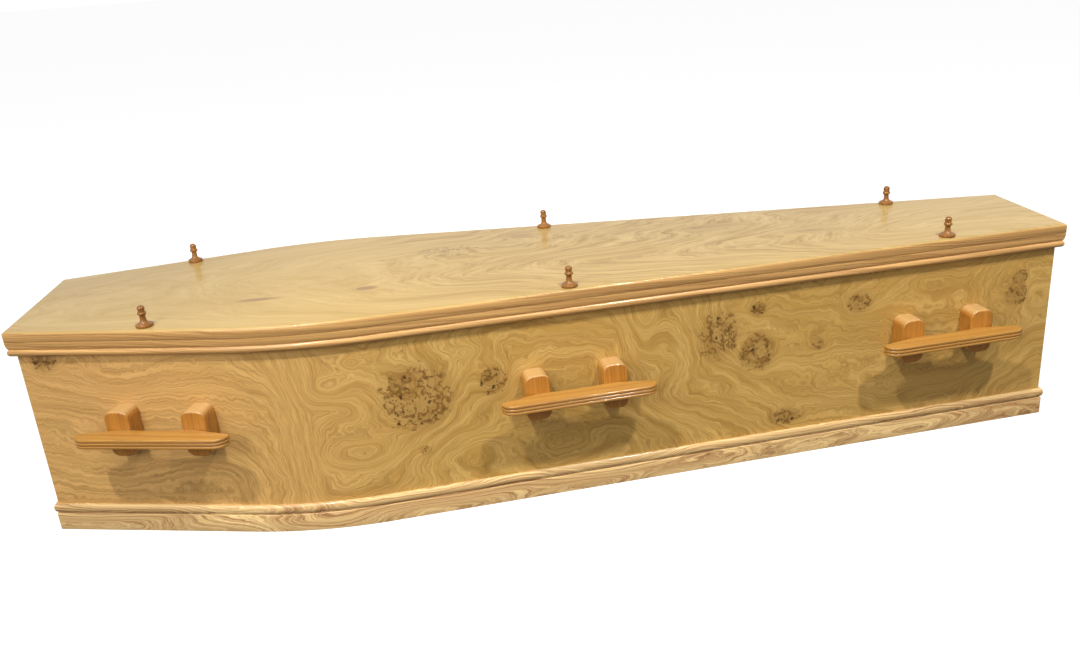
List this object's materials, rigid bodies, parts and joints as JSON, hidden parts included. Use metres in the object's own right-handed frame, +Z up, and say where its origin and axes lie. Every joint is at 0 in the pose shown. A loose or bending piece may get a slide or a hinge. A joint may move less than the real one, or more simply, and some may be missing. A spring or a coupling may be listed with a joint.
{
  "type": "coffin",
  "caption": "Tapered oak coffin with sides bent at the shoulder, a flat lift-off lid, moulded lid and base edges, wooden bar handles and turned finials.",
  "frame": {"origin": "on the underside, in the middle of the plan", "axes": "+X towards the foot end, +Z up, the front side faces -Y"},
  "size_m": [1.904, 0.6096, 0.4256],
  "materials": {
    "panel_veneer": "gloss varnish on figured oak veneer",
    "lid_veneer": "gloss varnish on figured oak veneer",
    "moulding_oak": "gloss varnish on oak",
    "handle_oak": "gloss varnish on stained oak",
    "finial_oak": "varnished stained oak",
    "base_oak": "plain sanded board"
  },
  "bodies": {
    "root": {"base_board": "base_oak", "side_board_back": "panel_veneer", "side_board_front": "panel_veneer", "head_board": "panel_veneer", "foot_board": "panel_veneer", "lid_board": "lid_veneer", "base_moulding_back": "moulding_oak", "base_moulding_front": "moulding_oak", "base_moulding_head": "moulding_oak", "base_moulding_foot": "moulding_oak", "lid_moulding_back": "moulding_oak", "lid_moulding_front": "moulding_oak", "lid_moulding_head": "moulding_oak", "lid_moulding_foot": "moulding_oak", "handle_bar_front_head": "handle_oak", "handle_block_front_head_headward": "handle_oak", "handle_block_front_head_footward": "handle_oak", "handle_bar_front_middle": "handle_oak", "handle_block_front_middle_headward": "handle_oak", "handle_block_front_middle_footward": "handle_oak", "handle_bar_front_foot": "handle_oak", "handle_block_front_foot_headward": "handle_oak", "handle_block_front_foot_footward": "handle_oak", "finial_front_head": "finial_oak", "finial_front_middle": "finial_oak", "finial_front_foot": "finial_oak", "handle_bar_back_head": "handle_oak", "handle_block_back_head_headward": "handle_oak", "handle_block_back_head_footward": "handle_oak", "handle_bar_back_middle": "handle_oak", "handle_block_back_middle_headward": "handle_oak", "handle_block_back_middle_footward": "handle_oak", "handle_bar_back_foot": "handle_oak", "handle_block_back_foot_headward": "handle_oak", "handle_block_back_foot_footward": "handle_oak", "finial_back_head": "finial_oak", "finial_back_middle": "finial_oak", "finial_back_foot": "finial_oak"}
  },
  "joints": []
}
